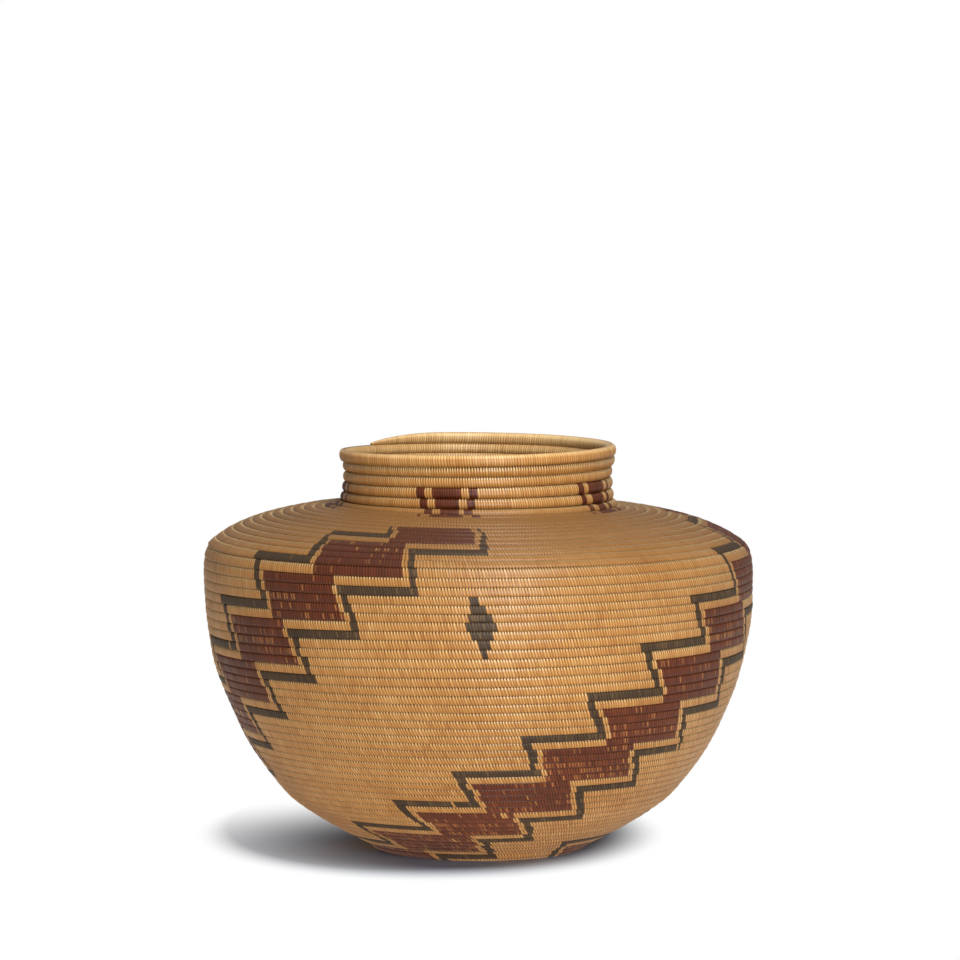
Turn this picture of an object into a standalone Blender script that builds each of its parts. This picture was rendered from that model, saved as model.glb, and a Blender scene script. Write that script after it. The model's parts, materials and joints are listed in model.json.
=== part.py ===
"""A coiled basket with a wide flat shoulder and a short upright neck.

One bundle of grass is wound from the middle of the base up to the rim and sewn to the round before it.
The bundle is modelled as one rising spiral tube.  It is divided into stretches, each its own object:
the start of the base, the rounds of the base, the heel, nine courses of the wall, the shoulder, the
neck and the rim.  The stretches meet end to end at the back of the basket, as where new grass is added.

Lengths are in metres and +Z is up.  The origin is the middle of the underside, on the floor.
The front is towards -Y, and the bundle rises anticlockwise seen from above.
"""

import math

import bmesh
import bpy
from mathutils import Vector

# Outline of the basket
WIDEST_DIAMETER = 0.280
SHOULDER_HEIGHT = 0.178
BASE_DIAMETER = 0.092
NECK_DIAMETER = 0.1376
NECK_FOOT_FLARE = 0.0043
NECK_HEIGHT = 0.0289
RIM_FLARE = 0.0017

# Unevenness of the handmade wall: the mouth leans back and to the left, the shoulder dips on the right
MOUTH_LEAN = 0.0018
MOUTH_SHIFT = 0.0009
SHOULDER_DIP = 0.0008

# Thickness of the sewn bundle from round to round
BASE_COIL = 0.0046
HEEL_COIL = 0.0045
FLANK_COIL = 0.00415
BELLY_COIL = 0.0046
CROWN_COIL = 0.0043
SHOULDER_COIL = 0.0053
NECK_COIL = 0.0052
RIM_COIL = 0.0054

# Clearances between pieces of the model
ROUND_GAP = 0.00045
JOINT_GAP = 0.0003
FLAT_DEPTH = 0.0005

# Start and end of the bundle
START_TURNS = 0.45
START_TAPER_TURNS = 0.35
END_TAPER_TURNS = 0.11
TIP_SHARE = 0.4
END_ANGLE = math.radians(234)

# Divisions
POINTS_PER_ROUND = 20
WALL_COURSES = 9
START_ROUNDS = 3
INNER_BASE_SHARE = 0.6
PATH_STEPS = 40
HALF_ROUND = 0.5

# Places of the bundle's middle line.  On the heel, flank, belly and crown of the wall each is a share
# of the way out from the base's edge to the widest round, and a share of the way up to the shoulder.
# On the shoulder the first is a share of the way out from the foot of the neck.
HEEL_SHARES = ((0.141, 0.031), (0.269, 0.066), (0.397, 0.105), (0.505, 0.144), (0.578, 0.178))
FLANK_SHARES = ((0.689, 0.250), (0.777, 0.322), (0.846, 0.396), (0.894, 0.459))
BELLY_SHARES = ((0.948, 0.553), (0.979, 0.644), (0.990, 0.689))
CROWN_SHARES = ((0.998, 0.734), (1.002, 0.819), (0.976, 0.868), (0.922, 0.891))
SHOULDER_SHARES = ((0.793, 0.912), (0.649, 0.934), (0.477, 0.952), (0.285, 0.967), (0.123, 0.973))
# On the neck each is a share of the foot's overhang and a share of the neck's height.
NECK_SHARES = ((0.24, 0.07), (0.0, 0.31), (0.0, 0.62))
# Shares of the shoulder's height where the unevenness grows and fades.
LEAN_SHARES = (0.56, 0.98)
DIP_SHARES = (0.56, 0.86)
DIP_END_SHARES = (0.98, 1.10)

COLLECTION_NAME = "bottleneck_basket"
CUTTER_NAME = "cutters"

# Colours of the sewing strands: root honey, root tan, root brown
HONEY = (0.54, 0.33, 0.13, 1.0)
TAN = (0.46, 0.26, 0.10, 1.0)
BROWN = (0.33, 0.17, 0.06, 1.0)
STRAND_ROUGHNESS = 0.55


def clear_scene():
    """Remove every object, so that the script can be run again."""
    for old in list(bpy.data.objects):
        bpy.data.objects.remove(old, do_unlink=True)


def tube_radius(coil):
    """Radius of the tube for a bundle whose rounds lie one coil apart."""
    return (coil - ROUND_GAP) / 2


def flat_reach(radius):
    """Distance from a six-sided tube's middle to its flat side."""
    return radius * math.cos(math.pi / 6)


def stations():
    """Middle line of the wall as (radius, height): base, heel, flank, belly, crown, shoulder and neck."""
    widest = WIDEST_DIAMETER / 2 - CROWN_COIL / 2
    base_height = flat_reach(tube_radius(BASE_COIL)) - FLAT_DEPTH
    edge = BASE_DIAMETER / 2 - BASE_COIL / 4
    rise = SHOULDER_HEIGHT - base_height
    parts = [[(0.0, base_height), (edge, base_height)]]
    for shares in (HEEL_SHARES, FLANK_SHARES, BELLY_SHARES, CROWN_SHARES):
        row = [(edge + out * (widest - edge), base_height + up * rise) for out, up in shares]
        parts.append([parts[-1][-1]] + row)
    neck = NECK_DIAMETER / 2 - NECK_COIL / 2
    foot = neck + NECK_FOOT_FLARE
    row = [(foot + out * (widest - foot), base_height + up * rise) for out, up in SHOULDER_SHARES]
    parts.append([parts[-1][-1]] + row + [(foot, SHOULDER_HEIGHT - SHOULDER_COIL / 2)])
    row = [(neck + out * (foot - neck), SHOULDER_HEIGHT + up * NECK_HEIGHT) for out, up in NECK_SHARES]
    top = SHOULDER_HEIGHT + NECK_HEIGHT
    rim = [(neck + RIM_FLARE, top - RIM_COIL), (neck + RIM_FLARE, top)]
    parts.append([parts[-1][-1]] + row + rim)
    return parts


def ease(low, high, value):
    """Smooth step from 0 at low to 1 at high."""
    share = min(max((value - low) / (high - low), 0.0), 1.0)
    return share * share * (3 - 2 * share)


def uneven_place(radius, height, angle):
    """Point of the wall at an angle, moved by the unevenness of the handmade wall."""
    level = height / SHOULDER_HEIGHT
    lean = ease(*LEAN_SHARES, level)
    dip = ease(*DIP_SHARES, level) * (1 - ease(*DIP_END_SHARES, level))
    side, front = math.sin(angle), math.cos(angle)
    rise = MOUTH_LEAN * lean * front - SHOULDER_DIP * dip * side
    return Vector((radius * side - MOUTH_SHIFT * lean, -radius * front, height + rise))


def spline_point(before, start, end, after, share):
    """Point on the smooth curve that runs through start and end, at a share of the way between them."""
    square = share * share
    cube = square * share
    return tuple(
        0.5 * (2 * b + (c - a) * share + (2 * a - 5 * b + 4 * c - d) * square + (3 * b - a - 3 * c + d) * cube)
        for a, b, c, d in zip(before, start, end, after)
    )


class MiddleLine:
    """The line that the bundle's middle follows up the wall, measured by its length."""

    def __init__(self):
        stretches = stations()
        self.points = [stretches[0][0]]
        self.lengths = [0.0]
        self.ends = []
        line = [stretches[0][0]]
        counts = []
        for stretch in stretches:
            line += stretch[1:]
            counts.append(len(line) - 1)
        for index in range(len(line) - 1):
            before = line[max(index - 1, 0)]
            after = line[min(index + 2, len(line) - 1)]
            for step in range(1, PATH_STEPS + 1):
                point = spline_point(before, line[index], line[index + 1], after, step / PATH_STEPS)
                self.lengths.append(self.lengths[-1] + math.dist(point, self.points[-1]))
                self.points.append(point)
            if index + 1 in counts:
                self.ends.append(self.lengths[-1])

    def at(self, length):
        """Radius and height of the line at a length along it; past its end it runs straight on."""
        low, high = 0, len(self.lengths) - 1
        while high - low > 1:
            middle = (low + high) // 2
            if self.lengths[middle] <= length:
                low = middle
            else:
                high = middle
        share = (length - self.lengths[low]) / (self.lengths[high] - self.lengths[low])
        (r0, z0), (r1, z1) = self.points[low], self.points[high]
        return r0 + (r1 - r0) * share, z0 + (z1 - z0) * share

    def slope(self, length):
        """Angle of the line above the level, for a bundle that moves outwards along it."""
        reach = FLANK_COIL / 4
        r0, z0 = self.at(max(length - reach, 0.0))
        r1, z1 = self.at(length + reach)
        return math.atan2(z1 - z0, r1 - r0)


class Winding:
    """How many rounds each stretch of the wall takes, and how far up the wall each turn has come."""

    def __init__(self, line):
        self.line = line
        coils = (
            BASE_COIL, HEEL_COIL, FLANK_COIL, BELLY_COIL, CROWN_COIL, SHOULDER_COIL, NECK_COIL,
        )
        starts = [0.0] + line.ends[:-1]
        self.rounds = [round((end - start) / coil) for start, end, coil in zip(starts, line.ends, coils)]
        self.turns = [0]
        for count in self.rounds:
            self.turns.append(self.turns[-1] + count)
        self.places = [0.0] + line.ends
        steps = [
            (b - a) / (d - c)
            for a, b, c, d in zip(self.places, self.places[1:], self.turns, self.turns[1:])
        ]
        inner = [(before + after) / 2 for before, after in zip(steps, steps[1:])]
        self.rates = [steps[0]] + inner + [RIM_COIL]

    def place(self, turn):
        """Length along the wall that the bundle has climbed after a number of turns."""
        index = 0
        while index < len(self.rounds) - 1 and turn > self.turns[index + 1]:
            index += 1
        width = self.turns[index + 1] - self.turns[index]
        share = (turn - self.turns[index]) / width
        if share > 1:
            return self.places[-1] + (turn - self.turns[-1]) * self.rates[-1]
        square = share * share
        cube = square * share
        start, end = self.places[index], self.places[index + 1]
        rise, leave = self.rates[index] * width, self.rates[index + 1] * width
        return (
            (2 * cube - 3 * square + 1) * start + (cube - 2 * square + share) * rise
            + (3 * square - 2 * cube) * end + (cube - square) * leave
        )

    def point(self, turn):
        """Point of the bundle's middle line at a turn."""
        radius, height = self.line.at(self.place(turn))
        return uneven_place(radius, height, END_ANGLE - 2 * math.pi * (self.last_turn - turn))

    def coil(self, turn):
        """Distance from the bundle at a turn to the nearer of the rounds beside it."""
        here = self.point(turn)
        above = (self.point(turn + 1) - here).length
        if turn < 1:
            return above
        return min(above, (self.point(turn - 1) - here).length)

    @property
    def last_turn(self):
        """Number of turns from the middle of the base to the end of the rim."""
        return self.turns[-1]


def stretches_of(winding):
    """Names of the objects with the turns where each stretch of the bundle begins and ends."""
    base_end, _, _, _, wall_end, shoulder_end, neck_end = winding.turns[1:]
    inner_end = round(base_end * INNER_BASE_SHARE)
    rows = [
        ("base_start", 0, START_ROUNDS, TAN),
        ("base_inner_rounds", START_ROUNDS, inner_end, TAN),
        ("base_outer_rounds", inner_end, base_end, TAN),
    ]
    courses = WALL_COURSES + 1
    for index in range(courses):
        name = "wall_course_%d" % index if index else "heel_rounds"
        begin = base_end + round((wall_end - base_end) * index / courses)
        end = base_end + round((wall_end - base_end) * (index + 1) / courses)
        rows.append((name, begin, end, HONEY))
    middle = (wall_end + shoulder_end) // 2
    rows += [
        ("shoulder_outer_rounds", wall_end, middle, TAN),
        ("shoulder_inner_rounds", middle, shoulder_end, BROWN),
        ("neck_foot_round", shoulder_end, shoulder_end + 1, BROWN),
        ("neck_rounds", shoulder_end + 1, neck_end - 1, HONEY),
        ("rim_round", neck_end - 1, neck_end, TAN),
    ]
    return rows


def whole_bundle(line, winding):
    """Points of the whole bundle: its turn, its place, the tube's radius and its lean at each."""
    last = winding.last_turn
    coarse = POINTS_PER_ROUND // 2
    turns = [index / coarse for index in range((START_ROUNDS - 1) * coarse)]
    turns = [START_TURNS] + [turn for turn in turns if turn > START_TURNS]
    first = (START_ROUNDS - 1) * POINTS_PER_ROUND
    turns += [index / POINTS_PER_ROUND for index in range(first, last * POINTS_PER_ROUND + 1)]
    rows = []
    for turn in turns:
        place = winding.point(turn)
        thick = tube_radius(winding.coil(turn))
        grown = min((turn - START_TURNS) / START_TAPER_TURNS, (last - turn) / END_TAPER_TURNS, 1.0)
        tube = thick * (TIP_SHARE + (1 - TIP_SHARE) * grown)
        if turn > last - END_TAPER_TURNS:
            place.z -= thick - tube
        rows.append((turn, place, tube, line.slope(winding.place(turn))))
    return rows


def stretch(bundle, begin, end):
    """Points of the bundle between two turns, cut square half a step past them."""
    half_step = 1 / (2 * POINTS_PER_ROUND)
    inside = [index for index, row in enumerate(bundle) if begin < row[0] - half_step < end]
    rows = [bundle[index][1:] for index in inside]
    if inside[0] > 0:
        rows.insert(0, joint(bundle[inside[0]], bundle[inside[0] - 1]))
    if inside[-1] < len(bundle) - 1:
        rows.append(joint(bundle[inside[-1]], bundle[inside[-1] + 1]))
    return rows


def joint(inner, outer):
    """End of a stretch, half a joint gap short of the middle between two points of the bundle."""
    (_, place, tube, lean), (_, next_place, next_tube, next_lean) = inner, outer
    step = next_place - place
    reach = step.length / 2 - JOINT_GAP / 2
    return place + step.normalized() * reach, (tube + next_tube) / 2, (lean + next_lean) / 2


def bundle_curve(name, rows):
    """Curve object with filled ends that follows the points, its corners facing the next rounds."""
    curve = bpy.data.curves.new(name, "CURVE")
    curve.dimensions = "3D"
    curve.twist_mode = "Z_UP"
    curve.bevel_depth = 1.0
    curve.bevel_resolution = 1
    curve.use_fill_caps = True
    spline = curve.splines.new("POLY")
    spline.points.add(len(rows) - 1)
    for point, (place, tube, lean) in zip(spline.points, rows):
        point.co = (*place, 1.0)
        point.radius = tube
        point.tilt = -lean
    holder = bpy.data.objects.new(name, curve)
    bpy.context.scene.collection.objects.link(holder)
    return holder


def curve_to_part(holder, collection, colour):
    """Turn the curve into a closed mesh object of the same name in the parts' collection."""
    name = holder.name
    graph = bpy.context.evaluated_depsgraph_get()
    mesh = bpy.data.meshes.new_from_object(holder.evaluated_get(graph))
    place = holder.matrix_world.copy()
    curve = holder.data
    bpy.data.objects.remove(holder, do_unlink=True)
    bpy.data.curves.remove(curve)
    work = bmesh.new()
    work.from_mesh(mesh)
    bmesh.ops.remove_doubles(work, verts=work.verts, dist=FLAT_DEPTH / 100)
    bmesh.ops.recalc_face_normals(work, faces=work.faces)
    work.to_mesh(mesh)
    work.free()
    mesh.name = name
    mesh.shade_smooth()
    mesh.set_sharp_from_angle(angle=math.radians(70))
    part = bpy.data.objects.new(name, mesh)
    part.matrix_world = place
    part.data.materials.clear()
    part.data.materials.append(strand_material(name, colour))
    collection.objects.link(part)
    return part


def strand_material(name, colour):
    """Matt split root, as sewn over the bundle."""
    material = bpy.data.materials.new(name + "_strands")
    material.use_nodes = True
    shader = material.node_tree.nodes["Principled BSDF"]
    shader.inputs["Base Color"].default_value = colour
    shader.inputs["Roughness"].default_value = STRAND_ROUGHNESS
    shader.inputs["Metallic"].default_value = 0.0
    return material


def floor_cutter(collection):
    """Block whose top is the floor, which makes the underside of the base flat."""
    depth = SHOULDER_COIL
    work = bmesh.new()
    bmesh.ops.create_cube(work, size=1.0)
    bmesh.ops.scale(work, verts=work.verts, vec=(WIDEST_DIAMETER, WIDEST_DIAMETER, depth))
    bmesh.ops.translate(work, verts=work.verts, vec=(0, 0, -depth / 2))
    mesh = bpy.data.meshes.new("floor_cutter")
    work.to_mesh(mesh)
    work.free()
    cutter = bpy.data.objects.new("floor_cutter", mesh)
    cutter.hide_render = True
    cutter.display_type = "WIRE"
    collection.objects.link(cutter)
    return cutter


def cut_flat(part, cutter):
    """Take away what reaches below the floor."""
    cut = part.modifiers.new("flat_underside", "BOOLEAN")
    cut.operation = "DIFFERENCE"
    cut.solver = "EXACT"
    cut.object = cutter


def least_gap(bundle):
    """Least free distance between one round and the next two, measured on points of the bundle."""
    least = math.inf
    for index, (turn, place, tube, _) in enumerate(bundle):
        for other_turn, other, wide, _ in bundle[index + 1:index + 2 * POINTS_PER_ROUND]:
            if other_turn - turn > HALF_ROUND:
                least = min(least, (place - other).length - tube - wide)
    return least


def build():
    """Wind the bundle and make one object for each stretch of it."""
    clear_scene()
    parts = bpy.data.collections.new(COLLECTION_NAME)
    cutters = bpy.data.collections.new(CUTTER_NAME)
    bpy.context.scene.collection.children.link(parts)
    bpy.context.scene.collection.children.link(cutters)
    line = MiddleLine()
    winding = Winding(line)
    cutter = floor_cutter(cutters)
    bundle = whole_bundle(line, winding)
    for name, begin, end, colour in stretches_of(winding):
        rows = stretch(bundle, begin, end)
        part = curve_to_part(bundle_curve(name, rows), parts, colour)
        if min(place.z - tube for place, tube, _ in rows) < FLAT_DEPTH:
            cut_flat(part, cutter)
    print("rounds in base, heel, flank, belly, crown, shoulder and neck:", winding.rounds)
    print("least gap between rounds: %.2f mm" % (least_gap(bundle) * 1000))


if __name__ == "__main__":
    build()
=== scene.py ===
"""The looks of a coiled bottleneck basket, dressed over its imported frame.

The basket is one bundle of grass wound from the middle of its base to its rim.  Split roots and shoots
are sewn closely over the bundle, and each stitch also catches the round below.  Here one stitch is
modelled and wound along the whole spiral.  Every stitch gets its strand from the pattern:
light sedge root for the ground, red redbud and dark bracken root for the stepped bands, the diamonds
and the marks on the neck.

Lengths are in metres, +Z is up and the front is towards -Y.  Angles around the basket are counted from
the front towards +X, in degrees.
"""

import json
import logging
import math
from dataclasses import dataclass, field
from enum import Enum
from typing import List, Optional, Sequence, Tuple

import bmesh
import bpy
import numpy as np
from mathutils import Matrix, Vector

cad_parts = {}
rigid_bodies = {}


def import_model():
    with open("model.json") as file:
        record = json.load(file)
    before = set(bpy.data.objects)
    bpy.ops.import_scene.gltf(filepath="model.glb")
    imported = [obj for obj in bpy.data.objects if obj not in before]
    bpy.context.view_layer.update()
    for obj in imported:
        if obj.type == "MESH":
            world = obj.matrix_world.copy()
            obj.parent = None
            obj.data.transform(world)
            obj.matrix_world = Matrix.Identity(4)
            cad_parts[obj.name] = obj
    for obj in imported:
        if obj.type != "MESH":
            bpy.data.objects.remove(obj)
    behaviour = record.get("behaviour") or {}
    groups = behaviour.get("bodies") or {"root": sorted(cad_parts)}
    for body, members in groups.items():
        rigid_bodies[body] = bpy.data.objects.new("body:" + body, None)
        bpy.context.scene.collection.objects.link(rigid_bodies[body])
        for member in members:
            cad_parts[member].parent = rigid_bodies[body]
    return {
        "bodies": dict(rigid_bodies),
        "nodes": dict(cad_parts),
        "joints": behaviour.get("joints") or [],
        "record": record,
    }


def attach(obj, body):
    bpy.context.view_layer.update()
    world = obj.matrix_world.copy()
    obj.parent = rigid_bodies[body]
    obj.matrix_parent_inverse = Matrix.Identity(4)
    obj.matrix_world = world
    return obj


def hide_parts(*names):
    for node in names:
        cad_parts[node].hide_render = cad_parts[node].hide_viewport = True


LOG = logging.getLogger("basket")

Colour = Tuple[float, float, float, float]
Shares = Tuple[Tuple[float, float], ...]


# Small helpers

def srgb(hex_code: str) -> Colour:
    """Turn a colour written as sRGB hex into linear light.

    Args:
        hex_code: Six hex digits, red first.

    Returns:
        Linear red, green, blue and an alpha of one.
    """
    channels = []
    for start in (0, 2, 4):
        value = int(hex_code[start:start + 2], 16) / 255
        channels.append(value / 12.92 if value <= 0.04045 else ((value + 0.055) / 1.055) ** 2.4)
    return (channels[0], channels[1], channels[2], 1.0)


def add_node(tree: bpy.types.NodeTree, kind: str, settings: Optional[dict] = None,
             inputs: Optional[dict] = None) -> bpy.types.Node:
    """Add one node with its settings and its inputs.

    Args:
        tree: Node tree that gets the node.
        kind: Node type, as Blender names it.
        settings: Properties to set on the node.
        inputs: Values, or output sockets to link, by input name or index.

    Returns:
        The new node.
    """
    node = tree.nodes.new(kind)
    for name, value in (settings or {}).items():
        setattr(node, name, value)
    for name, value in (inputs or {}).items():
        socket = node.inputs[name]
        if isinstance(value, bpy.types.NodeSocket):
            tree.links.new(value, socket)
        else:
            socket.default_value = value
    return node


def smooth_step(low: float, high: float, value: np.ndarray) -> np.ndarray:
    """Ease from 0 at low to 1 at high."""
    share = np.clip((value - low) / (high - low), 0.0, 1.0)
    return share * share * (3 - 2 * share)


# Sizes of the basket

@dataclass(frozen=True)
class BasketSizes:
    """Driving sizes of the basket, as in the frame.

    Two are the looks' own: the sag of the left side, and how thin the bundle's two ends are.
    """

    # Outline of the basket
    widest_diameter: float = 0.280
    shoulder_height: float = 0.178
    base_diameter: float = 0.092
    neck_diameter: float = 0.1376
    neck_foot_flare: float = 0.0043
    neck_height: float = 0.0289
    rim_flare: float = 0.0017

    # Unevenness of the handmade wall
    mouth_lean: float = 0.0018
    mouth_shift: float = 0.0009
    shoulder_dip: float = 0.0008
    left_sag: float = 0.0048

    # Thickness of the sewn bundle from round to round
    base_coil: float = 0.0046
    heel_coil: float = 0.0045
    flank_coil: float = 0.00415
    belly_coil: float = 0.0046
    crown_coil: float = 0.0043
    shoulder_coil: float = 0.0053
    neck_coil: float = 0.0052
    rim_coil: float = 0.0054

    # The frame's tube, which sets the height of the base: clearance of the rounds, sides, flat cut below
    round_gap: float = 0.00045
    tube_sides: int = 6
    flat_depth: float = 0.0005

    # Start and end of the bundle
    end_angle: float = 234.0
    start_turns: float = 0.45
    start_taper_turns: float = 0.35
    end_taper_turns: float = 0.11
    tip_share: float = 0.22

    # Divisions into the frame's nodes
    start_rounds: int = 3
    inner_base_share: float = 0.6
    wall_courses: int = 9

    # Places of the bundle's middle line.  On the heel, flank, belly and crown each is a share of the way
    # out from the base's edge to the widest round, and a share of the way up to the shoulder.  On the
    # shoulder the first is a share of the way out from the neck's foot.  On the neck they are shares of
    # the foot's overhang and of the neck's height.
    heel_shares: Shares = ((0.141, 0.031), (0.269, 0.066), (0.397, 0.105), (0.505, 0.144), (0.578, 0.178))
    flank_shares: Shares = ((0.689, 0.250), (0.777, 0.322), (0.846, 0.396), (0.894, 0.459))
    belly_shares: Shares = ((0.948, 0.553), (0.979, 0.644), (0.990, 0.689))
    crown_shares: Shares = ((0.998, 0.734), (1.002, 0.819), (0.976, 0.868), (0.922, 0.891))
    shoulder_shares: Shares = (
        (0.793, 0.912), (0.649, 0.934), (0.477, 0.952), (0.285, 0.967), (0.123, 0.973),
    )
    neck_shares: Shares = ((0.24, 0.07), (0.0, 0.31), (0.0, 0.62))

    # Shares of the shoulder's height where the unevenness grows and fades
    lean_shares: Tuple[float, float] = (0.56, 0.98)
    dip_shares: Tuple[float, float] = (0.56, 0.86)
    dip_end_shares: Tuple[float, float] = (0.98, 1.10)
    sag_shares: Tuple[float, float] = (0.42, 0.68)
    sag_end_shares: Tuple[float, float] = (0.70, 0.92)


class WallLine:
    """Line that the bundle's middle follows up the wall, with the turns that it takes."""

    STEPS: int = 40

    def __init__(self, sizes: BasketSizes) -> None:
        """Sample the smooth line through the stations of the wall.

        Args:
            sizes: Sizes of the basket.
        """
        self.sizes = sizes
        stretches = self._stations()
        line: List[Tuple[float, float]] = [stretches[0][0]]
        marks = []
        for stretch in stretches:
            line += stretch[1:]
            marks.append((len(line) - 1) * self.STEPS)
        stations = np.array(line)
        before = np.vstack([stations[:1], stations[:-2]])
        after = np.vstack([stations[2:], stations[-1:]])
        share = (np.arange(1, self.STEPS + 1) / self.STEPS)[None, :, None]
        start, end = stations[:-1, None, :], stations[1:, None, :]
        before, after = before[:, None, :], after[:, None, :]
        curve = 0.5 * (
            2 * start + (end - before) * share
            + (2 * before - 5 * start + 4 * end - after) * share ** 2
            + (3 * start - before - 3 * end + after) * share ** 3
        )
        self.points = np.vstack([stations[:1], curve.reshape(-1, 2)])
        steps = np.linalg.norm(np.diff(self.points, axis=0), axis=1)
        self.lengths = np.concatenate([[0.0], np.cumsum(steps)])
        self._count_turns([float(self.lengths[mark]) for mark in marks])

    def _stations(self) -> List[List[Tuple[float, float]]]:
        """Work out the line's stations from the sizes.

        Returns:
            Stations (radius, height) of the base, heel, flank, belly, crown, shoulder and neck.
        """
        sizes = self.sizes
        widest = sizes.widest_diameter / 2 - sizes.crown_coil / 2
        tube = (sizes.base_coil - sizes.round_gap) / 2
        base_height = tube * math.cos(math.pi / sizes.tube_sides) - sizes.flat_depth
        edge = sizes.base_diameter / 2 - sizes.base_coil / 4
        shoulder = sizes.shoulder_height
        rise = shoulder - base_height
        parts = [[(0.0, base_height), (edge, base_height)]]
        for shares in (sizes.heel_shares, sizes.flank_shares, sizes.belly_shares, sizes.crown_shares):
            row = [(edge + out * (widest - edge), base_height + up * rise) for out, up in shares]
            parts.append([parts[-1][-1]] + row)
        neck = sizes.neck_diameter / 2 - sizes.neck_coil / 2
        foot = neck + sizes.neck_foot_flare
        across, tall = widest - foot, sizes.neck_height
        row = [(foot + out * across, base_height + up * rise) for out, up in sizes.shoulder_shares]
        parts.append([parts[-1][-1]] + row + [(foot, shoulder - sizes.shoulder_coil / 2)])
        row = [(neck + out * (foot - neck), shoulder + up * tall) for out, up in sizes.neck_shares]
        top = shoulder + tall
        rim = [(neck + sizes.rim_flare, top - sizes.rim_coil), (neck + sizes.rim_flare, top)]
        parts.append([parts[-1][-1]] + row + rim)
        return parts

    def _count_turns(self, ends: List[float]) -> None:
        """Work out how many turns each stretch takes, and how fast the bundle climbs where they meet.

        Args:
            ends: Length along the wall where each stretch ends.
        """
        sizes = self.sizes
        coils = (
            sizes.base_coil, sizes.heel_coil, sizes.flank_coil, sizes.belly_coil, sizes.crown_coil,
            sizes.shoulder_coil, sizes.neck_coil,
        )
        starts = [0.0] + ends[:-1]
        counts = [round((end - start) / coil) for start, end, coil in zip(starts, ends, coils)]
        self.turns = np.concatenate([[0], np.cumsum(counts)]).astype(float)
        self.places = np.array([0.0] + ends)
        rates = np.diff(self.places) / np.diff(self.turns)
        self.rates = np.concatenate([rates[:1], (rates[1:] + rates[:-1]) / 2, [sizes.rim_coil]])

    @property
    def last_turn(self) -> int:
        """Turns from the middle of the base to the end of the rim."""
        return int(self.turns[-1])

    def place(self, turn: np.ndarray) -> np.ndarray:
        """Length along the wall that the bundle has climbed.

        Args:
            turn: Turns from the middle of the base.

        Returns:
            Lengths along the wall.
        """
        turn = np.asarray(turn, dtype=float)
        index = np.clip(np.searchsorted(self.turns, turn, side="left") - 1, 0, len(self.turns) - 2)
        width = self.turns[index + 1] - self.turns[index]
        share = (turn - self.turns[index]) / width
        start, end = self.places[index], self.places[index + 1]
        rise, leave = self.rates[index] * width, self.rates[index + 1] * width
        square, cube = share ** 2, share ** 3
        inside = (
            (2 * cube - 3 * square + 1) * start + (cube - 2 * square + share) * rise
            + (3 * square - 2 * cube) * end + (cube - square) * leave
        )
        past = self.places[-1] + (turn - self.turns[-1]) * self.rates[-1]
        return np.where(turn > self.turns[-1], past, inside)

    def at(self, length: np.ndarray) -> Tuple[np.ndarray, np.ndarray]:
        """Radius and height of the line; past its end it runs straight on.

        Args:
            length: Lengths along the wall.

        Returns:
            Radii and heights.
        """
        over = np.maximum(length - self.lengths[-1], 0.0)
        step = self.points[-1] - self.points[-2]
        step = step / np.linalg.norm(step)
        radius = np.interp(length, self.lengths, self.points[:, 0]) + over * step[0]
        height = np.interp(length, self.lengths, self.points[:, 1]) + over * step[1]
        return radius, height

    def slope(self, length: np.ndarray) -> np.ndarray:
        """Angle of the line above the level.

        Args:
            length: Lengths along the wall.

        Returns:
            Angles in radians: 0 where the line runs outwards, a quarter turn where it runs up.
        """
        reach = self.sizes.flank_coil / 4
        radius_before, height_before = self.at(np.maximum(length - reach, 0.0))
        radius_after, height_after = self.at(length + reach)
        return np.arctan2(height_after - height_before, radius_after - radius_before)

    def uneven(self, height: np.ndarray, angle: np.ndarray) -> Tuple[np.ndarray, np.ndarray]:
        """Unevenness of the handmade wall.

        The mouth leans back and to the left, the shoulder dips on the right, and the left side sags.

        Args:
            height: Heights of the wall.
            angle: Angles around the basket, in radians.

        Returns:
            How far the wall is moved to the side, and how far up.
        """
        sizes = self.sizes
        level = height / sizes.shoulder_height
        lean = smooth_step(*sizes.lean_shares, level)
        dip = smooth_step(*sizes.dip_shares, level) * (1 - smooth_step(*sizes.dip_end_shares, level))
        rise = sizes.mouth_lean * lean * np.cos(angle) - sizes.shoulder_dip * dip * np.sin(angle)
        sag = smooth_step(*sizes.sag_shares, level) * (1 - smooth_step(*sizes.sag_end_shares, level))
        rise -= sizes.left_sag * sag * np.minimum(np.sin(angle), 0.0) ** 2
        return -sizes.mouth_shift * lean, rise

    def pitch(self, turn: np.ndarray) -> np.ndarray:
        """Room for the bundle between the round before and the round after.

        Args:
            turn: Turns from the middle of the base.

        Returns:
            Distances along a straight line from half a round below to half a round above.
        """
        low = np.maximum(turn - 0.5, 0.0)
        radius_before, height_before = self.at(self.place(low))
        radius_after, height_after = self.at(self.place(low + 1.0))
        return np.hypot(radius_after - radius_before, height_after - height_before)


# The pattern

class Strand(Enum):
    """What a stitch is sewn with; the value is its material slot on a piece."""

    SEDGE = 0
    REDBUD = 1
    BRACKEN = 2


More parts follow.
